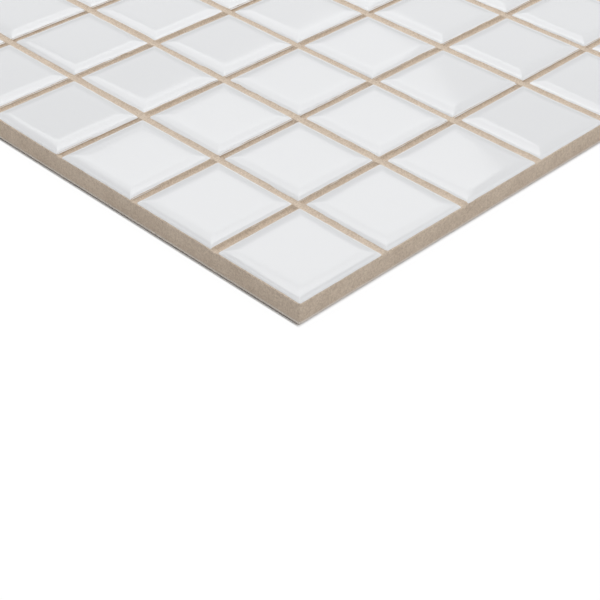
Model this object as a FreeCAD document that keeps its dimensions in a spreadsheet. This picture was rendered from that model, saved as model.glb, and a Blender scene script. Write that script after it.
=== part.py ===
import FreeCAD, Part
import math
import os

import Sketcher

# Mosaic tile sheet, in millimetres: rows of small glazed ceramic tiles face up, one grout casting that
# fills every joint and wraps the outer edge, and the thin mesh backing underneath that it lies on.
# The origin is the centre of the underside, +Z is the way the glazed faces look, and rows run along X.

# Driving dimensions, each written once
SIZES = {
    "tiles_across": 12,
    "tile_width": 23.8,
    "tile_thickness": 6.0,
    "side_draft": 0.25,
    "shoulder_drop": 0.6,
    "cushion_run": 0.5,
    "cushion_drop": 0.2,
    "crown_run": 3.2,
    "joint_width": 1.6,
    "grout_recess": 0.8,
    "dish_depth": 0.25,
    "dish_overlap": 0.3,
    "dish_clearance": 0.6,
    "edge_skim": 0.3,
    "sheet_corner_radius": 0.7,
    "lip_radius": 0.2,
    "under_edge_bevel": 0.3,
    "mesh_thickness": 0.35,
    "mesh_inset": 0.9,
}

# Sizes that follow from the driving ones
DERIVED = {
    "pitch": "=tile_width + joint_width",
    "tile_field": "=tiles_across * pitch - joint_width",
    "sheet_width": "=tile_field + 2 * edge_skim",
    "sheet_thickness": "=mesh_thickness + tile_thickness",
    "first_tile": "=(tile_width - tile_field) / 2",
    "first_joint": "=first_tile + pitch / 2",
    "joint_count": "=tiles_across - 1",
    "grout_depth": "=tile_thickness - grout_recess",
    "grout_top": "=mesh_thickness + grout_depth",
    "dish_chord": "=joint_width + 2 * dish_overlap",
    "back_width": "=tile_width - 2 * side_draft",
    "cushion_width": "=tile_width - 2 * cushion_run",
    "face_width": "=tile_width - 2 * crown_run",
    "shoulder_height": "=sheet_thickness - shoulder_drop",
    "cushion_height": "=sheet_thickness - cushion_drop",
    "mesh_width": "=sheet_width - 2 * mesh_inset",
}

# The squares a tile is lofted through, from its back to its face: name, width and height
TILE_SECTIONS = [
    ("Back", "Sizes.back_width", "Sizes.mesh_thickness"),
    ("Shoulder", "Sizes.tile_width", "Sizes.shoulder_height"),
    ("Cushion", "Sizes.cushion_width", "Sizes.cushion_height"),
    ("Face", "Sizes.face_width", "Sizes.sheet_thickness"),
]

PARTS_FOLDER = "parts"


def make_sheet_of_sizes(doc):
    """The spreadsheet that holds every size under its alias."""
    sheet = doc.addObject("Spreadsheet::Sheet", "Sizes")
    for line, (alias, value) in enumerate({**SIZES, **DERIVED}.items(), start=1):
        sheet.set(f"A{line}", alias)
        sheet.set(f"B{line}", str(value))
        sheet.setAlias(f"B{line}", alias)
    doc.recompute()
    return sheet


def origin_item(body, role):
    """One of a body's own origin planes or axes, found by its role."""
    return next(item for item in body.Origin.OriginFeatures if item.Role == role)


def new_sketch(body, name, plane):
    """An empty sketch on one of the body's own planes."""
    sketch = body.newObject("Sketcher::SketchObject", name)
    sketch.AttachmentSupport = [(origin_item(body, plane), "")]
    sketch.MapMode = "FlatFace"
    return sketch


def bind_size(sketch, kind, first, first_end, second, second_end, expression):
    """A dimension between two points of a sketch, driven by an expression."""
    size = sketch.evalExpression(expression)
    row = sketch.addConstraint(Sketcher.Constraint(kind, first, first_end, second, second_end, size))
    sketch.setExpression(f"Constraints[{row}]", expression)


def bind_radius(sketch, arc, expression):
    """The radius of a sketch's arc, driven by an expression."""
    size = sketch.evalExpression(expression)
    row = sketch.addConstraint(Sketcher.Constraint("Radius", arc, size))
    sketch.setExpression(f"Constraints[{row}]", expression)


def add_loop(sketch, points):
    """A closed loop of straight lines through the given points, joined end to end."""
    vectors = [FreeCAD.Vector(x, y, 0) for x, y in points]
    count = len(vectors)
    lines = []
    for index in range(count):
        segment = Part.LineSegment(vectors[index], vectors[(index + 1) % count])
        lines.append(sketch.addGeometry(segment))
    for index in range(count):
        following = lines[(index + 1) % count]
        sketch.addConstraint(Sketcher.Constraint("Coincident", lines[index], 2, following, 1))
    return lines


def draw_square(sketch, width):
    """A square centred on the sketch's origin."""
    half = sketch.evalExpression(width) / 2
    bottom, right, top, left = add_loop(sketch, [(-half, -half), (half, -half), (half, half), (-half, half)])
    sketch.addConstraint(Sketcher.Constraint("Horizontal", bottom))
    sketch.addConstraint(Sketcher.Constraint("Vertical", right))
    sketch.addConstraint(Sketcher.Constraint("Horizontal", top))
    sketch.addConstraint(Sketcher.Constraint("Vertical", left))
    sketch.addConstraint(Sketcher.Constraint("Equal", bottom, right))
    sketch.addConstraint(Sketcher.Constraint("Symmetric", bottom, 1, top, 1, -1, 1))
    bind_size(sketch, "DistanceX", bottom, 1, bottom, 2, width)


def draw_rounded_square(sketch, width, radius):
    """A square centred on the sketch's origin with rounded corners."""
    half = sketch.evalExpression(width) / 2
    corner = sketch.evalExpression(radius)
    run = half - corner
    z_axis = FreeCAD.Vector(0, 0, 1)
    arcs = []
    for index, (x, y) in enumerate([(run, run), (-run, run), (-run, -run), (run, -run)]):
        circle = Part.Circle(FreeCAD.Vector(x, y, 0), z_axis, corner)
        start = math.radians(90 * index)
        arcs.append(sketch.addGeometry(Part.ArcOfCircle(circle, start, start + math.radians(90))))
    sides = []
    for x0, y0, x1, y1 in [
        (run, half, -run, half),
        (-half, run, -half, -run),
        (-run, -half, run, -half),
        (half, -run, half, run),
    ]:
        segment = Part.LineSegment(FreeCAD.Vector(x0, y0, 0), FreeCAD.Vector(x1, y1, 0))
        sides.append(sketch.addGeometry(segment))
    for index in range(4):
        following = arcs[(index + 1) % 4]
        sketch.addConstraint(Sketcher.Constraint("Tangent", arcs[index], 2, sides[index], 1))
        sketch.addConstraint(Sketcher.Constraint("Tangent", sides[index], 2, following, 1))
    for arc in arcs[1:]:
        sketch.addConstraint(Sketcher.Constraint("Equal", arcs[0], arc))
    sketch.addConstraint(Sketcher.Constraint("Horizontal", sides[0]))
    sketch.addConstraint(Sketcher.Constraint("Vertical", sides[1]))
    sketch.addConstraint(Sketcher.Constraint("Equal", sides[0], sides[1]))
    sketch.addConstraint(Sketcher.Constraint("Symmetric", arcs[0], 3, arcs[2], 3, -1, 1))
    bind_size(sketch, "DistanceX", sides[1], 1, sides[3], 1, width)
    bind_radius(sketch, arcs[0], radius)


def draw_dish(sketch):
    """The hollow of a struck joint: an arc below the grout's top, closed by a box above it."""
    half = sketch.evalExpression("Sizes.dish_chord") / 2
    brim = sketch.evalExpression("Sizes.grout_top")
    bottom = brim - sketch.evalExpression("Sizes.dish_depth")
    top = brim + sketch.evalExpression("Sizes.dish_clearance")
    arc = sketch.addGeometry(Part.Arc(
        FreeCAD.Vector(-half, brim, 0), FreeCAD.Vector(0, bottom, 0), FreeCAD.Vector(half, brim, 0)))
    points = [(half, brim), (half, top), (-half, top), (-half, brim)]
    lines = []
    for (x0, y0), (x1, y1) in zip(points, points[1:]):
        segment = Part.LineSegment(FreeCAD.Vector(x0, y0, 0), FreeCAD.Vector(x1, y1, 0))
        lines.append(sketch.addGeometry(segment))
    right, top, left = lines
    sketch.addConstraint(Sketcher.Constraint("Coincident", arc, 2, right, 1))
    sketch.addConstraint(Sketcher.Constraint("Coincident", right, 2, top, 1))
    sketch.addConstraint(Sketcher.Constraint("Coincident", top, 2, left, 1))
    sketch.addConstraint(Sketcher.Constraint("Coincident", left, 2, arc, 1))
    sketch.addConstraint(Sketcher.Constraint("Vertical", right))
    sketch.addConstraint(Sketcher.Constraint("Vertical", left))
    sketch.addConstraint(Sketcher.Constraint("Symmetric", arc, 1, arc, 2, -2))
    sketch.addConstraint(Sketcher.Constraint("Horizontal", top))
    bind_size(sketch, "DistanceX", arc, 1, arc, 2, "Sizes.dish_chord")
    bind_size(sketch, "DistanceY", -1, 1, arc, 2, "Sizes.grout_top")
    bind_size(sketch, "DistanceY", right, 1, right, 2, "Sizes.dish_clearance")
    bind_radius(sketch, arc, "(Sizes.dish_chord ^ 2 / 4 + Sizes.dish_depth ^ 2) / (2 * Sizes.dish_depth)")


def edges_at_height(shape, height):
    """Names of the edges that lie wholly at one height."""
    names = []
    for index, edge in enumerate(shape.Edges, start=1):
        box = edge.BoundBox
        if abs(box.ZMin - height) < 1e-4 and abs(box.ZMax - height) < 1e-4:
            names.append(f"Edge{index}")
    return names


def repeat_along(body, feature, name, axis, count):
    """A feature repeated once per pitch along one of the body's axes."""
    pattern = body.newObject("PartDesign::LinearPattern", name)
    pattern.Originals = [feature]
    pattern.Direction = (origin_item(body, axis), [""])
    pattern.Mode = "Spacing"
    pattern.setExpression("Offset", "Sizes.pitch")
    pattern.setExpression("Occurrences", count)
    body.Tip = pattern
    return pattern


def make_tile_row(doc, row):
    """One row of pressed tiles, each with drafted sides and a cushioned edge round its face."""
    body = doc.addObject("PartDesign::Body", f"TileRow{row:02d}")
    body.Label = f"tile_row_{row:02d}"
    body.AllowCompound = True
    body.setExpression("Placement.Base.y", f"-Sizes.first_tile - {row - 1} * Sizes.pitch")
    sketches = []
    for section, width, height in TILE_SECTIONS:
        sketch = new_sketch(body, f"{section}Outline{row:02d}", "XY_Plane")
        sketch.setExpression("AttachmentOffset.Base.x", "Sizes.first_tile")
        sketch.setExpression("AttachmentOffset.Base.z", height)
        draw_square(sketch, width)
        sketches.append(sketch)
    pressed = body.newObject("PartDesign::AdditiveLoft", f"PressedTile{row:02d}")
    pressed.Profile = sketches[0]
    pressed.Sections = sketches[1:]
    pressed.Ruled = True
    repeat_along(body, pressed, f"TilesAlong{row:02d}", "X_Axis", "Sizes.tiles_across")
    return body


def make_grout_casting(doc, sizes):
    """The grout before the tiles are taken out of it: a slab with every joint struck hollow."""
    body = doc.addObject("PartDesign::Body", "GroutCasting")
    outline = new_sketch(body, "GroutOutline", "XY_Plane")
    outline.setExpression("AttachmentOffset.Base.z", "Sizes.mesh_thickness")
    draw_rounded_square(outline, "Sizes.sheet_width", "Sizes.sheet_corner_radius")
    slab = body.newObject("PartDesign::Pad", "GroutSlab")
    slab.Profile = outline
    slab.setExpression("Length", "Sizes.grout_depth")
    doc.recompute()

    under_edge = body.newObject("PartDesign::Chamfer", "UnderEdge")
    under_edge.Base = (slab, edges_at_height(slab.Shape, float(sizes.mesh_thickness)))
    under_edge.setExpression("Size", "Sizes.under_edge_bevel")
    doc.recompute()

    lip = body.newObject("PartDesign::Fillet", "StruckLip")
    lip.Base = (under_edge, edges_at_height(under_edge.Shape, float(sizes.grout_top)))
    lip.setExpression("Radius", "Sizes.lip_radius")
    doc.recompute()

    for name, plane, shift_axis in [("JointsAcross", "XZ_Plane", "X_Axis"), ("JointsAlong", "YZ_Plane", "Y_Axis")]:
        profile = new_sketch(body, f"{name}Dish", plane)
        profile.setExpression("AttachmentOffset.Base.x", "Sizes.first_joint")
        draw_dish(profile)
        strike = body.newObject("PartDesign::Pocket", f"{name}Strike")
        strike.Profile = profile
        strike.Type = "ThroughAll"
        strike.Midplane = True
        repeat_along(body, strike, name, shift_axis, "Sizes.joint_count")
        doc.recompute()
    return body


def make_grout(doc, casting, rows):
    """The one grout casting left between and around the tiles."""
    bed = doc.addObject("Part::Compound", "TilesInGrout")
    bed.Links = rows
    grout = doc.addObject("Part::Cut", "Grout")
    grout.Label = "grout"
    grout.Base = casting
    grout.Tool = bed
    return grout


def make_mesh_backing(doc):
    """The mesh and glue film under the tiles, as one thin sheet a little smaller than they are."""
    body = doc.addObject("PartDesign::Body", "MeshBacking")
    body.Label = "mesh_backing"
    outline = new_sketch(body, "MeshOutline", "XY_Plane")
    draw_rounded_square(outline, "Sizes.mesh_width", "Sizes.sheet_corner_radius")
    film = body.newObject("PartDesign::Pad", "MeshFilm")
    film.Profile = outline
    film.setExpression("Length", "Sizes.mesh_thickness")
    return body


def check_objects(doc):
    """Stops the build when any object failed to compute."""
    broken = [item.Name for item in doc.Objects if {"Invalid", "Error"} & set(item.State)]
    if broken:
        raise RuntimeError("objects that failed: " + ", ".join(broken))


def export_nodes(nodes):
    """Writes each node's solids to its own STEP file."""
    os.makedirs(PARTS_FOLDER, exist_ok=True)
    for node in nodes:
        if node.Shape.isNull() or not node.Shape.isValid():
            raise RuntimeError("shape not valid: " + node.Label)
        node.Shape.exportStep(f"{PARTS_FOLDER}/{node.Label}.step")
        print(node.Label, len(node.Shape.Solids), "solids", round(node.Shape.Volume, 1), "mm3")


def main():
    doc = FreeCAD.newDocument("MosaicSheet")
    sizes = make_sheet_of_sizes(doc)
    rows = [make_tile_row(doc, row) for row in range(1, int(sizes.tiles_across) + 1)]
    casting = make_grout_casting(doc, sizes)
    grout = make_grout(doc, casting, rows)
    mesh_backing = make_mesh_backing(doc)
    doc.recompute()
    check_objects(doc)
    export_nodes(rows + [grout, mesh_backing])


main()
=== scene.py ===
# %% [markdown]
# # A mosaic tile sheet, dressed for the studio
# The CAD model holds the true sizes: twelve rows of small pressed tiles, the grout cast between and round
# them, and the mesh they are glued to. This notebook loads that model as a fixed frame and gives each piece
# the surface that a camera sees: softly bevelled glossy glaze, sandy grout and woven glass mesh.

import bpy
import numpy as np
from mathutils import Matrix, Vector


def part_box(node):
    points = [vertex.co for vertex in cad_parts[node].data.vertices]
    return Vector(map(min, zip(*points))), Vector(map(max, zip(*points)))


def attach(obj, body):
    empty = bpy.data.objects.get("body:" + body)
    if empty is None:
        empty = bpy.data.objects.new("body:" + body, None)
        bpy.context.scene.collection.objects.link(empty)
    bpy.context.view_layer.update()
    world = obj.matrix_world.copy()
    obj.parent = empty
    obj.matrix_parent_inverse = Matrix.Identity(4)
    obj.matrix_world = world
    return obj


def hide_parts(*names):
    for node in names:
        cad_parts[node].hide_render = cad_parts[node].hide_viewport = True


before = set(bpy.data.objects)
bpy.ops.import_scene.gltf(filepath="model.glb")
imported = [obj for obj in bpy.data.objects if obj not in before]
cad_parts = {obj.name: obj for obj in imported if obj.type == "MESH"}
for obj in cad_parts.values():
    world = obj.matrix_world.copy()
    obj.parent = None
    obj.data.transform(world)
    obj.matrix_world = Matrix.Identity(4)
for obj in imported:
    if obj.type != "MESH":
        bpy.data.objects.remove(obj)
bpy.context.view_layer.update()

# %% [markdown]
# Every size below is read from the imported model, so the looks follow it when a size changes. The rows give
# the tile and the pitch, the grout gives its own brim, and the mesh gives the height the tiles stand at.

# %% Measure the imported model
MM = 0.001
row_names = sorted(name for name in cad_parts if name.startswith("tile_row_"))
across = len(row_names)
first_row_low, first_row_high = (np.array(corner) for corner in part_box(row_names[0]))
grout_low, grout_high = (np.array(corner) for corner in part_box("grout"))
mesh_low, mesh_high = (np.array(corner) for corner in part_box("mesh_backing"))
tile_width = first_row_high[1] - first_row_low[1]
pitch = (first_row_high[0] - first_row_low[0] - tile_width) / (across - 1)
joint_width = pitch - tile_width
face_height = first_row_high[2]
back_height = first_row_low[2]
joint_lines = (np.arange(1, across) - across / 2) * pitch
half_joint = joint_width / 2
tile_edge = across * pitch / 2 - half_joint
tile_centres = (np.arange(across) - (across - 1) / 2) * pitch
print("tile", round(tile_width / MM, 2), "pitch", round(pitch / MM, 2), "joint", round(joint_width / MM, 2))

# %% [markdown]
# The photograph looks down across one corner of the sheet through a long lens. Its place was solved from the
# grid of joints, which is as good as a ruler: straight, square and evenly spaced. It is kept here as a
# distance from the sheet's front corner in tile pitches, with the way the lens looks and the way that is up.

# %% Camera
CAMERA_FROM_CORNER = (-6.705, -6.520, 7.363)
LENS_FORWARD = Vector((0.57172, 0.55588, -0.60343)).normalized()
LENS_UP = Vector((0.41956, 0.43396, 0.79727)).normalized()
FOCAL_PIXELS = 1539.5
IMAGE_PIXELS = 600
SENSOR = 36.0
front_corner = np.array([-across / 2 * pitch, -across / 2 * pitch, 0.0])

camera_data = bpy.data.cameras.new("camera")
camera_data.sensor_width = SENSOR
camera_data.lens = SENSOR * FOCAL_PIXELS / IMAGE_PIXELS
camera_data.clip_start = 0.01
camera = bpy.data.objects.new("camera", camera_data)
bpy.context.collection.objects.link(camera)
lens_right = LENS_FORWARD.cross(LENS_UP).normalized()
turn = Matrix((lens_right, lens_right.cross(LENS_FORWARD), -LENS_FORWARD)).transposed()
camera_place = Vector(front_corner + np.array(CAMERA_FROM_CORNER) * pitch)
camera.matrix_world = Matrix.Translation(camera_place) @ turn.to_4x4()
bpy.context.scene.camera = camera
print("camera at", [round(v, 4) for v in camera_place], "lens", round(camera_data.lens, 1))

# %% [markdown]
# A mesh is only points and the faces that join them. Here both come as whole numpy arrays, which Blender
# takes in one go, so a piece with a hundred thousand faces is made in a moment.

# %% Turn arrays into a piece


def make_piece(name, points, faces, material, body="root"):
    """A mesh object from an array of points and a list of face arrays, each of them all quads or all
    triangles, shaded smooth and riding on a body of the frame."""
    mesh = bpy.data.meshes.new(name)
    corners = np.concatenate([block.ravel() for block in faces])
    sizes = np.concatenate([np.full(len(block), block.shape[1]) for block in faces])
    starts = np.concatenate([[0], np.cumsum(sizes)[:-1]])
    mesh.vertices.add(len(points))
    mesh.vertices.foreach_set("co", np.ascontiguousarray(points, dtype=np.float32).ravel())
    mesh.loops.add(len(corners))
    mesh.loops.foreach_set("vertex_index", corners.astype(np.int32))
    mesh.polygons.add(len(sizes))
    mesh.polygons.foreach_set("loop_start", starts.astype(np.int32))
    mesh.update(calc_edges=True)
    mesh.validate()
    mesh.shade_smooth()
    mesh.materials.append(material)
    piece = bpy.data.objects.new(name, mesh)
    bpy.context.collection.objects.link(piece)
    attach(piece, body)
    return piece


# %% [markdown]
# Materials are small graphs of nodes. One helper adds a node, sets its options and its sockets and links
# what feeds it. Colours are written as the hex values that a colour picker shows, which are sRGB, so one
# function turns them into the linear light that a shader works in.

# %% Helpers for materials


def linear(hex_colour):
    """An sRGB hex colour as linear red, green, blue and an alpha of one: below 0.04045 a channel is divided
    by 12.92, and above it raised to the power 2.4 after an offset."""
    channels = np.array([int(hex_colour[i:i + 2], 16) for i in (1, 3, 5)]) / 255
    low = channels / 12.92
    high = ((channels + 0.055) / 1.055) ** 2.4
    return (*np.where(channels <= 0.04045, low, high), 1.0)


def add_node(tree, kind, settings=None, **inputs):
    """A node of a kind with its settings, and each named input either linked from a socket or set."""
    node = tree.nodes.new(kind)
    for key, value in (settings or {}).items():
        setattr(node, key, value)
    for key, value in inputs.items():
        socket = node.inputs[int(key[1:]) if key[0] == "i" and key[1:].isdigit() else key.replace("_", " ")]
        if isinstance(value, bpy.types.NodeSocket):
            tree.links.new(value, socket)
        else:
            socket.default_value = value
    return node


def mix_colours(tree, share, first, second):
    """The colour between a first and a second one, by a share from 0 to 1. A mix node keeps its colour
    sockets at places 6 and 7, behind those for plain numbers and vectors, and its colour result at 2."""
    return add_node(tree, "ShaderNodeMix", {"data_type": "RGBA"}, i0=share, i6=first, i7=second).outputs[2]


def new_material(name):
    """An empty node material and its tree."""
    material = bpy.data.materials.new(name)
    material.use_nodes = True
    material.node_tree.nodes.clear()
    return material, material.node_tree


# %% [markdown]
# ## Glazed ceramic
# The tiles are dry-pressed ceramic under an opaque white tin glaze. The fired glaze is glass: smooth, hard
# and bright, with soft waves a few millimetres long where it flowed. Where the tile turns down at its edge
# the glaze is painted a little whiter: a painted highlight for the light the rolled edge catches from the
# front and the floor. The glaze stops just above the shoulder, and the pressed body below it is a matt buff.
# One material holds all of it and changes over by height.

# %% Glazed ceramic
GLAZE_WHITE = "#E8E9EA"
# A painted highlight: the whiter white that the rolled edge is painted, for the light it catches.
RIM_PAINTED_HIGHLIGHT = "#F4F5F6"
RIM_HIGHLIGHT_START = 0.48 * MM
RIM_HIGHLIGHT_FULL = 0.70 * MM
BODY_LIGHT = "#D2C0AB"
BODY_DARK = "#B9A793"
GLAZE_LINE = 1.0 * MM
GLAZE_LINE_WANDER = 0.03 * MM
GLAZE_LINE_WAVE = 2.0 * MM
FLOW_WAVE = 5.0 * MM
FLOW_RELIEF = 0.2 * MM
BODY_GRAIN = 0.35 * MM
GLAZE_ROUGHNESS = 0.07
BODY_ROUGHNESS = 0.85
GLASS_IOR = 1.5


def make_glazed_ceramic():
    """White glaze above the glaze line, painted whiter on the rolled edge as a painted highlight, and a matt
    buff body below it. The fired glaze gives the eye sharp soft highlights on a plain white, and the body
    below it gives none."""
    material, tree = new_material("glazed ceramic")
    place = add_node(tree, "ShaderNodeTexCoord").outputs["Object"]
    height = add_node(tree, "ShaderNodeSeparateXYZ", Vector=place).outputs["Z"]
    wander = add_node(tree, "ShaderNodeTexNoise", Vector=place, Scale=1 / GLAZE_LINE_WAVE,
                      Detail=2.0).outputs["Fac"]
    line = add_node(tree, "ShaderNodeMapRange", Value=wander, i1=0.3, i2=0.7,
                    i3=face_height - GLAZE_LINE - GLAZE_LINE_WANDER,
                    i4=face_height - GLAZE_LINE + GLAZE_LINE_WANDER).outputs["Result"]
    above = add_node(tree, "ShaderNodeMath", {"operation": "SUBTRACT"}, i0=height, i1=line).outputs[0]
    glazed = add_node(tree, "ShaderNodeMapRange", Value=above, i1=-0.02 * MM, i2=0.04 * MM).outputs["Result"]
    grain = add_node(tree, "ShaderNodeTexNoise", Vector=place, Scale=1 / BODY_GRAIN, Detail=3.0)
    body = mix_colours(tree, grain.outputs["Fac"], linear(BODY_DARK), linear(BODY_LIGHT))
    # Painted highlight: below a set depth the rolled edge is painted whiter than the face.
    rim_highlight = add_node(tree, "ShaderNodeMapRange", Value=height, i1=face_height - RIM_HIGHLIGHT_START,
                    i2=face_height - RIM_HIGHLIGHT_FULL).outputs["Result"]
    glaze = mix_colours(tree, rim_highlight, linear(GLAZE_WHITE), linear(RIM_PAINTED_HIGHLIGHT))
    colour = mix_colours(tree, glazed, body, glaze)
    roughness = add_node(tree, "ShaderNodeMapRange", Value=glazed, i3=BODY_ROUGHNESS,
                         i4=GLAZE_ROUGHNESS).outputs["Result"]
    flow = add_node(tree, "ShaderNodeTexNoise", Vector=place, Scale=1 / FLOW_WAVE, Detail=1.0)
    bump = add_node(tree, "ShaderNodeBump", Strength=0.05, Distance=FLOW_RELIEF,
                    Height=flow.outputs["Fac"]).outputs["Normal"]
    shader = add_node(tree, "ShaderNodeBsdfPrincipled", Base_Color=colour, Roughness=roughness,
                      IOR=GLASS_IOR, Normal=bump)
    add_node(tree, "ShaderNodeOutputMaterial", Surface=shader.outputs["BSDF"])
    return material


# %% [markdown]
# ## Tile rows
# A pressed tile has a flat face with a soft bevel round it, a few millimetres wide, whose last millimetre
# rolls over into the side. It could be a cube with a Bevel modifier, but the brightness of each band of the
# bevel hangs on its exact slope, so it is built as rings instead: one profile, from the back up over the
# shoulder to the middle of the face, is carried round a square path with small rounded corners.

# %% Outline of a tile
POINTS_PER_SIDE = 16
POINTS_PER_CORNER = 3
PLAN_CORNER = 0.45 * MM


def square_path():
    """The path round a square as two arrays: where each point stands on the square of half-size one, and
    which way is out. A side's points share one way out, and a corner's turn through a right angle."""
    along = np.linspace(-1, 1, POINTS_PER_SIDE)
    turn = np.linspace(0, np.pi / 2, POINTS_PER_CORNER + 2)[1:-1]
    core, out = [], []
    for quarter in range(4):
        spin = np.array([[0.0, -1.0], [1.0, 0.0]])
        rotate = np.linalg.matrix_power(spin, quarter)
        side_core = np.stack([np.ones_like(along), along], axis=1)
        side_out = np.stack([np.ones_like(along), np.zeros_like(along)], axis=1)
        corner_core = np.ones((POINTS_PER_CORNER, 2))
        corner_out = np.stack([np.cos(turn), np.sin(turn)], axis=1)
        core.append(np.concatenate([side_core, corner_core]) @ rotate.T)
        out.append(np.concatenate([side_out, corner_out]) @ rotate.T)
    return np.concatenate(core), np.concatenate(out)


path_core, path_out = square_path()
print("points round a tile:", len(path_core))

# %% [markdown]
# The profile is the side view of half a tile. The bevel is one straight slope that mirrors one part of the
# room, and the roll at its end turns through all the rest, which is what draws the thin light and dark
# lines along a tile's edge. The rings stand close together there and further apart on the flat face.

# %% Profile of a tile
BEVEL_SLOPE = 0.22
BEVEL_WIDTH = 2.7 * MM
BEVEL_BLEND = 0.37 * MM
ROLL_RUN = 1.15 * MM
ROLL_DROP = 0.42 * MM
SHOULDER_DROP = BEVEL_SLOPE * BEVEL_WIDTH + ROLL_DROP
BACK_INSET = 0.25 * MM
BACK_CHAMFER = 0.15 * MM
ROLL_STEPS = 9
FACE_INSETS = np.array([1.4, 1.75, 2.05, 2.3, 2.55, 2.8, 3.05, 3.35, 3.8, 4.6, 6.2, 8.8]) * MM


def tile_profile():
    """The profile as inset from the outline and height above the floor. The roll is a quarter of an ellipse
    at the edge. The bevel's height is the logarithm of one plus an exponential, which runs as a straight
    slope near the edge and bends smoothly into the flat face."""
    shoulder = face_height - SHOULDER_DROP
    wall_inset = np.array([BACK_INSET + BACK_CHAMFER, BACK_INSET, 0.3 * BACK_INSET, 0.1 * BACK_INSET])
    wall_height = np.array([back_height, back_height + BACK_CHAMFER, shoulder - 0.7 * MM,
                            shoulder - 0.2 * MM])
    angle = np.linspace(0, np.pi / 2, ROLL_STEPS)
    face_inset = np.concatenate([ROLL_RUN * (1 - np.cos(angle)), FACE_INSETS])
    roll = np.concatenate([ROLL_DROP * (1 - np.sin(angle)), np.zeros(len(FACE_INSETS))])
    bevel = BEVEL_SLOPE * BEVEL_BLEND * np.log1p(np.exp((BEVEL_WIDTH - face_inset) / BEVEL_BLEND))
    return np.append(wall_inset, face_inset), np.append(wall_height, face_height - bevel - roll)


profile_inset, profile_height = tile_profile()
print("rings in a tile:", len(profile_inset))

# %% [markdown]
# The rings are joined into a closed skin, like the hoops of a barrel. The lowest ring closes on one point in
# the middle of the back, and the highest on one point in the middle of the face.

# %% Faces of a tile


def tube_faces(rings, around):
    """Quads between neighbouring rings of a tube, then triangles to a last point below and above. The ring
    index runs up and the point index runs round, so the corners turn outwards."""
    ring, step = np.meshgrid(np.arange(rings - 1), np.arange(around), indexing="ij")
    following = (step + 1) % around
    quads = np.stack([ring * around + step, ring * around + following,
                      (ring + 1) * around + following, (ring + 1) * around + step], axis=-1)
    step = np.arange(around)
    following = (step + 1) % around
    below = np.full(around, rings * around)
    bottom = np.stack([following, step, below], axis=1)
    top = np.stack([step, following, below], axis=1) + [(rings - 1) * around, (rings - 1) * around, 1]
    return quads.reshape(-1, 4), np.concatenate([bottom, top])


tile_quads, tile_triangles = tube_faces(len(profile_inset), len(path_core))
print("faces in a tile:", len(tile_quads) + len(tile_triangles))

# %% [markdown]
# Hand-set tiles are never quite alike, so each is moved, turned, tipped and waved a little. A numpy random
# generator with a fixed seed gives the same tiles in each run. All twelve tiles of a row are worked out at
# once and become one piece, as in the CAD model.

# %% Rows of tiles
rng = np.random.default_rng(11)
SHIFT = 0.07 * MM
TURN = np.radians(0.25)
TIP = 0.003
SINK = 0.04 * MM
EDGE_WAVE = 0.012 * MM
EDGE_COUNTS = np.array([4, 7, 10, 13, 17, 22])
EDGE_FADE = 1.6 * MM
BEVEL_WAVE = 0.06 * MM
BEVEL_COUNTS = np.array([1, 2, 3, 4, 6])
EDGE_REACH = 0.05 * MM
OUTLINE_INSET = 0.02 * MM
SIDE_MARGIN = 0.01 * MM


def waves(counts, size):
    """For each tile of a row, a sum of sines round its outline with random sizes and phases."""
    angle = np.arange(len(path_core)) / len(path_core) * 2 * np.pi
    phase = rng.uniform(0, 2 * np.pi, (across, len(counts), 1))
    share = rng.uniform(0.3, 1.0, (across, len(counts), 1)) * size
    return (share * np.sin(counts[None, :, None] * angle + phase)).sum(axis=1)


def tile_row_points(row_y):
    """Points of one row of tiles. Each point is its place on the shrunken square plus the corner rounding
    along the way out, plus waves that are strongest at the edge and at the bend of the bevel. The height is
    the profile tipped as a plane. The tiles at the sheet's edge are drawn out to its side."""
    inset = profile_inset[None, :, None]
    wave = waves(EDGE_COUNTS, EDGE_WAVE)[:, None] * np.exp(-inset / EDGE_FADE)
    at_bend = (inset / BEVEL_WIDTH) * np.exp(1 - inset / BEVEL_WIDTH)
    wave = wave + waves(BEVEL_COUNTS, BEVEL_WAVE)[:, None] * at_bend
    half = tile_width / 2 - OUTLINE_INSET - inset
    radius = np.minimum(PLAN_CORNER, half * 0.5)
    reach = half - radius
    flat = (path_core[None, None] * reach[..., None] + path_out[None, None] * (radius + wave)[..., None])
    height = np.broadcast_to(profile_height[None, :, None], flat.shape[:3]).copy()
    tip = rng.uniform(-TIP, TIP, (across, 2))
    sink = rng.uniform(0, SINK, across) + TIP * tile_width * 0.7
    tipped = (flat * tip[:, None, None]).sum(-1) - sink[:, None, None]
    height += np.where(height > back_height + MM, tipped, 0)
    spin = rng.uniform(-TURN, TURN, across)
    shift = rng.uniform(-SHIFT, SHIFT, (across, 2))
    x = flat[..., 0] - flat[..., 1] * spin[:, None, None] + (tile_centres + shift[:, 0])[:, None, None]
    y = flat[..., 1] + flat[..., 0] * spin[:, None, None] + (row_y + shift[:, 1])[:, None, None]
    limit = grout_high[0] - SIDE_MARGIN
    outward = np.clip((np.abs(x) - (tile_edge - tile_width / 2)) / (tile_width / 2), 0, 1)
    x = np.clip(x + np.sign(x) * EDGE_REACH * outward, -limit, limit)
    outward = np.clip((np.abs(y) - (tile_edge - tile_width / 2)) / (tile_width / 2), 0, 1)
    y = np.clip(y + np.sign(y) * EDGE_REACH * outward, -limit, limit)
    rings = np.stack([x, y, height], axis=-1).reshape(across, -1, 3)
    middle = np.stack([tile_centres + shift[:, 0], row_y + shift[:, 1]], axis=-1)
    bottom = np.concatenate([middle, np.full((across, 1), back_height)], axis=1)
    top = np.concatenate([middle, (face_height - sink)[:, None]], axis=1)
    return np.concatenate([rings, bottom[:, None], top[:, None]], axis=1)


# %% [markdown]
# Each row of glazed tiles takes the place of its plain solids in the frame, so the CAD row is hidden and the
# dressed one carries its material slot.

# %% Build the rows


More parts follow.
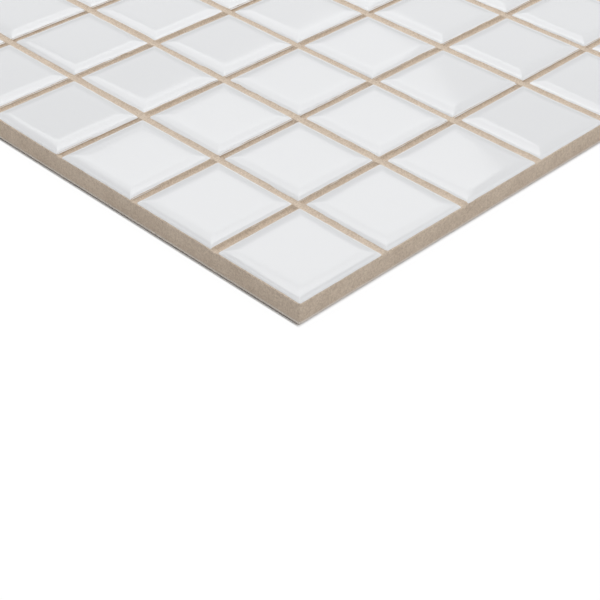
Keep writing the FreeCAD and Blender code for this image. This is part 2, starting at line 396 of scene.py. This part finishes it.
def make_tile_rows(material):
    """One piece for each row of the frame, in place of that row's plain solids."""
    for name in row_names:
        low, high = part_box(name)
        points = tile_row_points((low[1] + high[1]) / 2)
        first = np.arange(across)[:, None, None] * points.shape[1]
        faces = [(block[None] + first).reshape(-1, block.shape[1])
                 for block in (tile_quads, tile_triangles)]
        piece = make_piece(name.replace("tile_row", "glazed_row"), points.reshape(-1, 3), faces, material)
        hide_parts(name)
    row_faces = across * (len(tile_quads) + len(tile_triangles))
    print("tile rows:", len(row_names), "with", row_faces, "faces each")


glazed_ceramic = make_glazed_ceramic()
make_tile_rows(glazed_ceramic)

# %% [markdown]
# ## Cement grout
# Grout is cement and fine sand, pressed into the joints and struck with a rounded tool, so each joint is a
# trough with a slightly lumpy floor. At the outer edge it is struck off flush and its arris is rounded. A
# pale
# band is painted along its foot: painted light, for the white floor's light thrown up onto the lower arris.
# Its colour is one tan, mottled by the sand, and it has no shine at all. Real sand is 0.1 to 0.3 mm, and it
# is drawn a little coarser here so that it shows.

# %% Cement grout
GROUT_LIGHT = "#F1E2CF"
GROUT_DARK = "#AC9885"
SAND_GRAIN = 0.40 * MM
GROUT_CLOUD = 6.0 * MM
CLOUD_SHARE = 0.2
GROUT_SPREAD = 0.34
# Painted light: a paler tone along the foot of the outer face, for light thrown up from the white floor.
FLOOR_BOUNCE_PAINT = "#ECE6DE"
FLOOR_BOUNCE_SHARE = 0.8
GROUT_ROUGHNESS = 0.9
SAND_RELIEF = 0.08 * MM


def make_cement_grout():
    """Sand grains over soft clouds of tone, with the grains raised as a bump, which gives the eye a matt
    and gritty tan. The paler band at the foot is painted light from the white floor, a band between two
    ramps of height."""
    material, tree = new_material("cement grout")
    place = add_node(tree, "ShaderNodeTexCoord").outputs["Object"]
    sand = add_node(tree, "ShaderNodeTexNoise", Vector=place, Scale=1 / SAND_GRAIN, Detail=4.0,
                    Roughness=0.7).outputs["Fac"]
    cloud = add_node(tree, "ShaderNodeTexNoise", Vector=place, Scale=1 / GROUT_CLOUD,
                     Detail=3.0).outputs["Fac"]
    tone = add_node(tree, "ShaderNodeMath", {"operation": "MULTIPLY_ADD"}, i0=cloud, i1=CLOUD_SHARE,
                    i2=sand).outputs[0]
    middle = 0.5 + 0.5 * CLOUD_SHARE
    spread = add_node(tree, "ShaderNodeMapRange", Value=tone, i1=middle - GROUT_SPREAD,
                      i2=middle + GROUT_SPREAD)
    colour = mix_colours(tree, spread.outputs["Result"], linear(GROUT_DARK), linear(GROUT_LIGHT))
    height = add_node(tree, "ShaderNodeSeparateXYZ", Vector=place).outputs["Z"]
    # The foot of the outer face is painted paler between two ramps of height: painted light from the floor.
    under = add_node(tree, "ShaderNodeMapRange", Value=height, i1=grout_low[2] + 0.1 * MM,
                     i2=grout_low[2] + 0.25 * MM, i4=FLOOR_BOUNCE_SHARE).outputs["Result"]
    bounce_band = add_node(tree, "ShaderNodeMapRange", Value=height, i1=grout_low[2] + 0.5 * MM,
                      i2=grout_low[2] + 0.7 * MM, i3=under, i4=0.0).outputs["Result"]
    colour = mix_colours(tree, bounce_band, colour, linear(FLOOR_BOUNCE_PAINT))
    bump = add_node(tree, "ShaderNodeBump", Strength=0.5, Distance=SAND_RELIEF, Height=sand)
    shader = add_node(tree, "ShaderNodeBsdfPrincipled", Base_Color=colour, Roughness=GROUT_ROUGHNESS,
                      IOR=1.45, Specular_IOR_Level=0.25, Normal=bump.outputs["Normal"])
    add_node(tree, "ShaderNodeOutputMaterial", Surface=shader.outputs["BSDF"])
    return material


# %% [markdown]
# The grout is one casting with 144 windows. It starts as a sheet of grid lines, close together across each
# joint and further apart along the tiles. The squares under the tiles are left out, the rest is copied down
# to the bottom, and walls close the windows and the outside. The windows reach a little way under the
# tiles, so the wavy glaze always meets grout.

# %% Lines of the grout grid
TUCK = 0.5 * MM
TROUGH_HALF = half_joint + 0.17 * MM
ALONG_TILE = 8
OUTER = grout_high[0] - 0.12 * MM
END_RUN = 1.3 * MM


def grout_lines():
    """The grid's lines one way: eleven across each joint, an even run under each tile, and a few close to
    the outer face, where the arris is rounded."""
    share = np.array([0.4, 0.7, 0.88, 1.0])
    joint = np.concatenate([-TROUGH_HALF * share, [0.0], TROUGH_HALF * share,
                            [-half_joint - TUCK, half_joint + TUCK]])
    joints = (joint_lines[:, None] + joint[None]).ravel()
    run = tile_width - 2 * TUCK
    inside = np.linspace(-run / 2, run / 2, ALONG_TILE + 1)[1:-1]
    under = (tile_centres[:, None] + inside[None]).ravel()
    rim = np.array([tile_edge - END_RUN, tile_edge - TUCK, tile_edge - 0.1 * MM, tile_edge + 0.02 * MM,
                    OUTER - 0.2 * MM, OUTER - 0.1 * MM, OUTER - 0.03 * MM, OUTER])
    return np.sort(np.concatenate([joints, under, rim, -rim]))


lines = grout_lines()
print("grout grid lines each way:", len(lines))

# %% [markdown]
# The height of the casting is a function of the place on the sheet. It stands a little above the tiles'
# shoulders and is dished in each joint. The joints along x are struck deeper, so they lie in shadow, and
# rise again at their outer ends, where the side of the sheet was struck last.

# %% Heights of the grout
SHOULDER = face_height - SHOULDER_DROP
BRIM_ALONG_Y = SHOULDER + 0.13 * MM
BRIM_ALONG_X = SHOULDER + 0.25 * MM
EDGE_BRIM = SHOULDER
DISH_ALONG_Y = 0.22 * MM
DISH_ALONG_X = 0.84 * MM
ARRIS = 0.10 * MM
END_ARRIS = 0.55 * MM
LUMP = 0.03 * MM
LUMP_LENGTHS = (1.5 * MM, 7 * MM)
LUMP_SEED = 5
LUMP_WAVES = 14


def lumps(x, y, size, lengths, seed):
    """A soft random surface: the sum of many sine waves of random heading, length and phase, divided by the
    square root of their number."""
    draw = np.random.default_rng(seed)
    heading = draw.uniform(0, np.pi, LUMP_WAVES)
    length = draw.uniform(*lengths, LUMP_WAVES)
    phase = draw.uniform(0, 2 * np.pi, LUMP_WAVES)
    total = np.zeros(np.broadcast(x, y).shape)
    for turn_of_wave, wave_length, start in zip(heading, length, phase):
        along = x * np.cos(turn_of_wave) + y * np.sin(turn_of_wave)
        total += np.sin(along * 2 * np.pi / wave_length + start)
    return size * total / np.sqrt(LUMP_WAVES)


def grout_height(x, y):
    """The brim, less a trough in each joint, less a quarter round at the outer face, plus lumps. Across a
    joint the trough is one minus the distance from its middle to a power: 2 along y, which is a parabola,
    and 4 along x, which has a flatter floor and steeper sides."""
    off_x = np.abs(x[..., None] - joint_lines).min(axis=-1)
    off_y = np.abs(y[..., None] - joint_lines).min(axis=-1)
    trough_y = np.clip(1 - (off_x / TROUGH_HALF) ** 2, 0, 1)
    trough_x = np.clip(1 - (off_y / TROUGH_HALF) ** 4, 0, 1)
    reach = np.maximum(np.abs(x), np.abs(y))
    along_y = np.clip((half_joint + TUCK - off_x) / TUCK, 0, 1)
    brim = BRIM_ALONG_X + (BRIM_ALONG_Y - BRIM_ALONG_X) * along_y
    at_edge = np.clip((reach - tile_edge + TUCK) / TUCK, 0, 1)
    trough = np.maximum(trough_x, trough_y)
    brim = brim + (EDGE_BRIM - brim) * at_edge * (1 - trough)
    at_end = np.clip((reach - OUTER + END_RUN) / END_RUN, 0, 1)
    struck = DISH_ALONG_X + (DISH_ALONG_Y - DISH_ALONG_X) * at_end
    dish = np.maximum(struck * trough_x * (1 - along_y), DISH_ALONG_Y * trough_y)
    arris = ARRIS + (END_ARRIS - ARRIS) * trough
    beyond = np.clip(reach - (OUTER - arris), 0, arris)
    round_off = arris - np.sqrt(np.maximum(arris ** 2 - beyond ** 2, 0))
    return brim - dish - round_off + lumps(x, y, LUMP, LUMP_LENGTHS, LUMP_SEED) * (1 - at_edge)


# %% [markdown]
# The side of the sheet is a skirt of rows from the top sheet's edge down to a small bevel at the foot. It
# sways in and out by a hundredth of a millimetre, as a hand-struck face does. The sheet's four upright
# corners are rounded.

# %% Outer face of the grout
UNDER_BEVEL = 0.14 * MM
CORNER_RADIUS = 0.7 * MM
SIDE_ROWS = np.array([0.03, 0.08, 0.2, 0.35, 0.5, 0.65, 0.8, 0.9, 0.95])
SWAY = 0.012 * MM
SWAY_LENGTHS = (3 * MM, 20 * MM)
SWAY_SEED = 8


def round_corners(points, half):
    """Rounds the four corners of a square of a half-size: past the start of the corner, the step towards
    the corner keeps its greater part as its length."""
    start = half - CORNER_RADIUS
    step = np.clip(np.abs(points[..., :2]) - start, 0, None)
    length = np.maximum(np.hypot(step[..., 0], step[..., 1]), 1e-12)
    inside = (step > 0).all(axis=-1)
    scale = np.where(inside, step.max(axis=-1) / length, 1.0)
    moved = np.sign(points[..., :2]) * (np.minimum(np.abs(points[..., :2]), start) + step * scale[..., None])
    points[..., :2] = np.where(inside[..., None], moved, points[..., :2])
    return points


def outer_ring(count):
    """Grid indices of the outer boundary of a square grid, in order round it and starting at one corner."""
    up = np.arange(count - 1)
    first = np.zeros(count - 1, dtype=int)
    last = np.full(count - 1, count - 1)
    i = np.concatenate([up, last, last - up, first])
    j = np.concatenate([first, up, last, last - up])
    return i * count + j


def outer_face(rim):
    """Rows of points from the rim of the top sheet straight down to the bevel at the foot, moved in and out
    by the sway where they stand on the outer face."""
    foot = rim.copy()
    foot[:, 2] = grout_low[2] + UNDER_BEVEL
    down = SIDE_ROWS[:, None, None]
    side = np.concatenate([rim[None] * (1 - down) + foot[None] * down, foot[None]])
    sway = lumps(side[..., 0] + side[..., 1], side[..., 2] * 3, SWAY, SWAY_LENGTHS, SWAY_SEED) - 0.01 * MM
    side[..., :2] += np.sign(side[..., :2]) * (np.abs(side[..., :2]) > OUTER - 1e-6) * sway[..., None]
    return side


# %% [markdown]
# Last, the sheets, the window walls and the skirt are joined into one closed skin. A window's wall stands on
# each grid edge that has a square of grout on one side and an empty square on the other.

# %% Build the grout


def window_edges(index, solid):
    """The grid edges between a solid and an empty square, each with its two ends in the order that turns
    the wall towards the window."""
    before_x = solid[:-1, :] & ~solid[1:, :]
    after_x = ~solid[:-1, :] & solid[1:, :]
    before_y = solid[:, :-1] & ~solid[:, 1:]
    after_y = ~solid[:, :-1] & solid[:, 1:]
    return np.concatenate([
        np.stack([index[1:-1, 1:][before_x], index[1:-1, :-1][before_x]], axis=-1),
        np.stack([index[1:-1, :-1][after_x], index[1:-1, 1:][after_x]], axis=-1),
        np.stack([index[:-1, 1:-1][before_y], index[1:, 1:-1][before_y]], axis=-1),
        np.stack([index[1:, 1:-1][after_y], index[:-1, 1:-1][after_y]], axis=-1),
    ])


def grout_mesh():
    """Points and faces of the casting: top sheet, bottom sheet, window walls and outer face."""
    count = len(lines)
    x, y = np.meshgrid(lines, lines, indexing="ij")
    top = round_corners(np.stack([x, y, grout_height(x, y)], axis=-1), OUTER)
    squeeze = np.clip((np.abs(lines) - (tile_edge - TUCK)) / (OUTER - tile_edge + TUCK), 0, 1) * UNDER_BEVEL
    low_lines = lines - np.sign(lines) * squeeze
    x, y = np.meshgrid(low_lines, low_lines, indexing="ij")
    low = round_corners(np.stack([x, y, np.full(x.shape, grout_low[2])], axis=-1), OUTER - UNDER_BEVEL)
    ring = outer_ring(count)
    side = outer_face(top.reshape(-1, 3)[ring])

    points = np.concatenate([top.reshape(-1, 3), low.reshape(-1, 3), side.reshape(-1, 3)])
    index = np.arange(count * count).reshape(count, count)
    middle = (lines[:-1] + lines[1:]) / 2
    away = np.abs(middle[:, None] - tile_centres[None]).min(axis=1)
    under_tile = away < tile_width / 2 - TUCK
    solid = ~(under_tile[:, None] & under_tile[None, :])
    a, b = index[:-1, :-1], index[1:, :-1]
    c, d = index[1:, 1:], index[:-1, 1:]
    cover = np.stack([a, b, c, d], axis=-1)[solid]
    base = cover[:, ::-1] + count * count

    rim = window_edges(index, solid)
    walls = np.stack([rim[:, 0], rim[:, 1], rim[:, 1] + count * count, rim[:, 0] + count * count], axis=-1)

    around = len(ring)
    side_index = 2 * count * count + np.arange(side.shape[0] * around).reshape(-1, around)
    bands = np.concatenate([ring[None], side_index, ring[None] + count * count])
    upper, lower = bands[:-1], bands[1:]
    skirt = np.stack([upper, lower, np.roll(lower, -1, axis=1), np.roll(upper, -1, axis=1)], axis=-1)
    faces = np.concatenate([cover, base, walls, skirt.reshape(-1, 4)])
    used, faces = np.unique(faces, return_inverse=True)
    return points[used], faces.reshape(-1, 4)


def make_grout(material):
    """The casting, in place of the grout's plain solid."""
    points, faces = grout_mesh()
    piece = make_piece("struck_grout", points, [faces], material)
    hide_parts("grout")
    print("grout faces:", len(faces))


cement_grout = make_cement_grout()
make_grout(cement_grout)

# %% [markdown]
# ## Glass-fibre mesh
# The backs of the tiles are glued to an open net of glass strands. Each strand is a flat ribbon of fibres
# that passes over one crossing strand and under the next, so its height is a cosine of the way along it.

# %% Glass-fibre mesh
STRAND_SPACING = 5.0 * MM
STRAND_WIDTH = 0.9 * MM
STRAND_THICKNESS = 0.15 * MM
FIBRE_WIDTH = 0.25 * MM


def make_glass_fibre_mesh():
    """Pale coated glass: off-white and slightly glossy. The streaks of fibre are drawn coarser than real
    fibres, which are far too fine to show."""
    material, tree = new_material("glass-fibre mesh")
    place = add_node(tree, "ShaderNodeTexCoord").outputs["Object"]
    fibre = add_node(tree, "ShaderNodeTexNoise", Vector=place, Scale=1 / FIBRE_WIDTH,
                     Detail=2.0).outputs["Fac"]
    colour = mix_colours(tree, fibre, linear("#C9C8C0"), linear("#EDEDE8"))
    bump = add_node(tree, "ShaderNodeBump", Strength=0.4, Distance=0.05 * MM, Height=fibre).outputs["Normal"]
    shader = add_node(tree, "ShaderNodeBsdfPrincipled", Base_Color=colour, Roughness=0.5, Normal=bump)
    add_node(tree, "ShaderNodeOutputMaterial", Surface=shader.outputs["BSDF"])
    return material


# %% [markdown]
# The warp and the weft are the same set of ribbons, once along x and once, turned over, along y. Where one
# is at the top of its wave the other is at the bottom, so they pass each other without touching.

# %% Weave the strands


def strand_points(count, reach):
    """Points of all strands that run one way, as strand, step along and corner of the ribbon. The middle
    line is a cosine that is highest or lowest at each crossing, and neighbouring strands are half a wave
    apart. There is a step at each crossing, one between each two, and one at each end."""
    offset = (np.arange(count) - (count - 1) / 2) * STRAND_SPACING
    inner = offset[0] + np.arange(-1, 2 * count) * STRAND_SPACING / 2
    along = np.concatenate([[-reach], inner, [reach]])
    steps = along.size
    wave = np.cos(np.pi * (along - offset[0]) / STRAND_SPACING)
    lift = wave[None] * np.where(np.arange(count) % 2, 1, -1)[:, None]
    swing = (mesh_high[2] - mesh_low[2] - STRAND_THICKNESS) / 2
    middle = (mesh_high[2] + mesh_low[2]) / 2 + swing * lift
    side = np.array([-1, 1, 1, -1]) * STRAND_WIDTH / 2
    rise = np.array([-1, -1, 1, 1]) * STRAND_THICKNESS / 2
    x = np.broadcast_to(along[None, :, None], (count, steps, 4))
    y = np.broadcast_to(offset[:, None, None] + side, (count, steps, 4))
    z = middle[:, :, None] + rise
    return np.stack([x, y, z], axis=-1)


def strand_faces(count, steps):
    """Quads along each ribbon and one at each of its two ends."""
    first = (np.arange(count) * steps * 4)[:, None, None]
    step = (np.arange(steps - 1) * 4)[None, :, None]
    corner = np.arange(4)[None, None]
    following = (corner + 1) % 4
    quads = np.stack([first + step + corner, first + step + following, first + step + 4 + following,
                      first + step + 4 + corner], axis=-1).reshape(-1, 4)
    start = first[:, 0] + np.arange(4)[::-1]
    end = first[:, 0] + (steps - 1) * 4 + np.arange(4)
    return np.concatenate([quads, start, end])


def make_mesh_backing(material):
    """The net under the tiles, in place of the backing's plain film."""
    reach = mesh_high[0]
    count = int(2 * reach / STRAND_SPACING)
    weft = strand_points(count, reach)
    warp = strand_points(count, reach)
    warp[..., 2] = mesh_high[2] + mesh_low[2] - warp[..., 2]
    warp = warp[..., [1, 0, 2]]
    faces = strand_faces(count, weft.shape[1])
    points = np.concatenate([weft.reshape(-1, 3), warp.reshape(-1, 3)])
    piece = make_piece("woven_mesh", points, [np.concatenate([faces, faces + weft[..., 0].size])], material)
    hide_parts("mesh_backing")
    print("strands each way:", count)


glass_fibre_mesh = make_glass_fibre_mesh()
make_mesh_backing(glass_fibre_mesh)

# %% [markdown]
# ## Floor and lights
# The sheet lies on a white studio sweep. To the camera the floor is plain white, as in a cut-out product
# picture, but for a faint shadow close to the sheet, and it throws light back on the sheet's edges. Under
# the overhang of the grout on the x sides it stays a plain matt floor, so the thin gap at the foot is dark.
# On the y sides the plain white fades in from 0.8 mm under the overhang, which is painted light for the
# front light that reaches in under the edge.

# %% Floor
FLOOR_HALF = 2.0
FLOOR_SHADOW = 0.07
FLOOR_GLOW = 1.03
PLAIN_PAST_X = (0.0, 0.3 * MM)
# Painted light: on the y sides the plain white starts 0.8 mm inside the outline, under the overhang.
PAINTED_LIGHT_UNDER_Y = (-0.8 * MM, 0.15 * MM)


def make_floor():
    """A large plane at the height the sheet lies at. Past the sheet's sides, the camera sees it mostly as
    plain light, with a small share of the true shadow left in. On the y sides this plain light fades in from
    0.8 mm under the overhang: painted light, for front light that falls in under the edge."""
    material, tree = new_material("white sweep")
    ray = add_node(tree, "ShaderNodeLightPath")
    place = add_node(tree, "ShaderNodeTexCoord").outputs["Object"]
    apart = add_node(tree, "ShaderNodeVectorMath", {"operation": "ABSOLUTE"}, i0=place).outputs["Vector"]
    apart = add_node(tree, "ShaderNodeSeparateXYZ", Vector=apart).outputs
    past_x = add_node(tree, "ShaderNodeMapRange", Value=apart["X"], i1=grout_high[0] + PLAIN_PAST_X[0],
                      i2=grout_high[0] + PLAIN_PAST_X[1], i4=1 - FLOOR_SHADOW).outputs["Result"]
    # Painted light: on the y sides the floor under the overhang is painted lit, fading in from 0.8 mm
    # inside.
    y_glow_under_edge = add_node(tree, "ShaderNodeMapRange", Value=apart["Y"], i1=grout_high[1] + PAINTED_LIGHT_UNDER_Y[0],
                      i2=grout_high[1] + PAINTED_LIGHT_UNDER_Y[1], i4=1 - FLOOR_SHADOW).outputs["Result"]
    share = add_node(tree, "ShaderNodeMath", {"operation": "MAXIMUM"}, i0=past_x, i1=y_glow_under_edge).outputs[0]
    seen = add_node(tree, "ShaderNodeMath", {"operation": "MULTIPLY"}, i0=ray.outputs["Is Camera Ray"],
                    i1=share).outputs[0]
    matt = add_node(tree, "ShaderNodeBsdfDiffuse", Color=linear("#F4F4F4")).outputs["BSDF"]
    plain = add_node(tree, "ShaderNodeEmission", Color=(1, 1, 1, 1), Strength=FLOOR_GLOW)
    mix = add_node(tree, "ShaderNodeMixShader", i0=seen, i1=matt, i2=plain.outputs["Emission"])
    add_node(tree, "ShaderNodeOutputMaterial", Surface=mix.outputs["Shader"])
    mesh = bpy.data.meshes.new("floor")
    corners = np.array([(-1, -1, 0), (1, -1, 0), (1, 1, 0), (-1, 1, 0)]) * FLOOR_HALF
    mesh.from_pydata(corners.tolist(), [], [(0, 1, 2, 3)])
    mesh.materials.append(material)
    floor = bpy.data.objects.new("floor", mesh)
    bpy.context.collection.objects.link(floor)


make_floor()

# %% [markdown]
# Glaze shows a room more than it shows itself. The photograph tells what each slope of the tiles mirrors, so
# the room is painted by height for mirrored rays only: bright at the foot, where the sweep meets the tiles'
# far edges, dark a little above it, paler where the flat faces look, and dim overhead.

# %% The room
ROOM_LEVEL = 0.17
ROOM_COLOUR = "#FCFCFF"
MIRRORED_LEVELS = {0.0: 1.0, 0.07: 0.9, 0.13: 0.15, 0.22: 0.12, 0.3: 0.25, 0.4: 0.5, 0.44: 0.72, 0.48: 0.53,
                   0.65: 0.48, 0.9: 0.15}


def add_levels(tree, value, levels):
    """A colour ramp in greys: the level at each place along a value, with straight runs between."""
    ramp = add_node(tree, "ShaderNodeValToRGB", Fac=value)
    stops = ramp.color_ramp.elements
    while len(stops) < len(levels):
        stops.new(0.5)
    for stop, (place, grey) in zip(stops, levels.items()):
        stop.position = place
        stop.color = (grey, grey, grey, 1.0)
    return ramp.outputs["Color"]


def light_room():
    """An even pale world round the set. The camera sees it plain white. The glaze mirrors the level that
    belongs to the height of the mirrored ray."""
    world = bpy.data.worlds.new("room")
    world.use_nodes = True
    tree = world.node_tree
    tree.nodes.clear()
    ray = add_node(tree, "ShaderNodeLightPath").outputs
    way = add_node(tree, "ShaderNodeTexCoord").outputs["Generated"]
    rise = add_node(tree, "ShaderNodeSeparateXYZ", Vector=way).outputs["Z"]
    mirrored = add_levels(tree, rise, MIRRORED_LEVELS)
    level = add_node(tree, "ShaderNodeMapRange", Value=ray["Is Glossy Ray"], i3=ROOM_LEVEL,
                     i4=mirrored).outputs["Result"]
    level = add_node(tree, "ShaderNodeMath", {"operation": "MAXIMUM"}, i0=level, i1=ray["Is Camera Ray"])
    shade = add_node(tree, "ShaderNodeBackground", Color=linear(ROOM_COLOUR), Strength=level.outputs[0])
    add_node(tree, "ShaderNodeOutputWorld", Surface=shade.outputs["Background"])
    bpy.context.scene.world = world


light_room()

# %% [markdown]
# One wide softbox stands over the back of the sheet. It shows as a bright patch in the glaze of the front
# tiles and ends in the tiles further back. A small lamp high to its side draws the thin lines of light along
# the rolled edges. The fills give the even light of a white room. They aren't mirrored, because the painted
# room already stands for what the glaze shows.

# %% Lamps
CLOTH_LEVELS = {0.45: 0.15, 0.53: 0.36, 0.59: 0.47, 0.70: 0.38, 0.80: 0.95}


def add_softbox(name, centre, aim, size, radiance, roll=0.0):
    """A rectangular lamp at a place, facing a point and rolled about the way it faces. A flat lamp gives
    pi times its brightness from each square metre. The level of its cloth goes by the sine of the angle at
    which its light falls."""
    data = bpy.data.lights.new(name, "AREA")
    data.shape = "RECTANGLE"
    data.size, data.size_y = size
    data.energy = radiance * np.pi * size[0] * size[1]
    data.use_nodes = True
    tree = data.node_tree
    tree.nodes.clear()
    way = add_node(tree, "ShaderNodeNewGeometry").outputs["Incoming"]
    fall = add_node(tree, "ShaderNodeSeparateXYZ", Vector=way).outputs["Z"]
    climb = add_node(tree, "ShaderNodeMath", {"operation": "MULTIPLY"}, i0=fall, i1=-1.0).outputs[0]
    level = add_levels(tree, climb, CLOTH_LEVELS)
    glow = add_node(tree, "ShaderNodeEmission", Strength=level).outputs["Emission"]
    add_node(tree, "ShaderNodeOutputLight", Surface=glow)
    lamp = bpy.data.objects.new(name, data)
    facing = (Vector(aim) - Vector(centre)).to_track_quat("-Z", "Y").to_matrix()
    lamp.matrix_world = Matrix.Translation(centre) @ (facing @ Matrix.Rotation(roll, 3, "Z")).to_4x4()
    bpy.context.collection.objects.link(lamp)
    return lamp


def add_fill(name, centre, aim, size, radiance):
    """A softbox that gives even light and isn't mirrored in the glaze."""
    lamp = add_softbox(name, centre, aim, size, radiance)
    lamp.visible_glossy = False
    lamp.data.use_nodes = False


FILLS = {
    "wide ceiling": ((0.35, 0.1, 1.03), (0.35, 0.1, 0.0), (2.9, 5.4), 0.437),
    "near ceiling": ((0.2, -0.1, 1.0), (0.2, -0.1, 0.0), (2.4, 3.6), 0.407),
    "front fill": ((0.2, -2.2, 0.6), (0.0, 0.0, 0.0), (1.5, 0.9), 0.60),
    "left fill": ((-2.2, 0.3, 0.6), (0.0, 0.0, 0.0), (1.5, 0.9), 0.32),
}
for fill_name, (centre, aim, size, radiance) in FILLS.items():
    add_fill(fill_name, centre, aim, size, radiance)

SHEET_SPOT = np.array([-0.10, -0.10, 0.0])
LAMP_DISTANCE = 0.9
BACK_HALF_ANGLES = np.radians([17.0, 17.0])
BACK_ROLL = np.radians(30)


def lamp_place(heading, climb):
    """The point at the lamps' distance from the lit spot, by its heading and climb in degrees."""
    heading, climb = np.radians(heading), np.radians(climb)
    way = np.array([np.cos(climb) * np.cos(heading), np.cos(climb) * np.sin(heading), np.sin(climb)])
    return tuple(SHEET_SPOT + LAMP_DISTANCE * way)


add_softbox("back softbox", lamp_place(46.5, 47.0), tuple(SHEET_SPOT),
            2 * LAMP_DISTANCE * np.tan(BACK_HALF_ANGLES), 3.0, BACK_ROLL)
add_softbox("high light", lamp_place(75.0, 57.0), tuple(SHEET_SPOT), (0.06, 0.06), 4.0)

# %% [markdown]
# Colours go to the picture as they are, without a film curve.

# %% Finish
bpy.context.scene.view_settings.view_transform = "Standard"
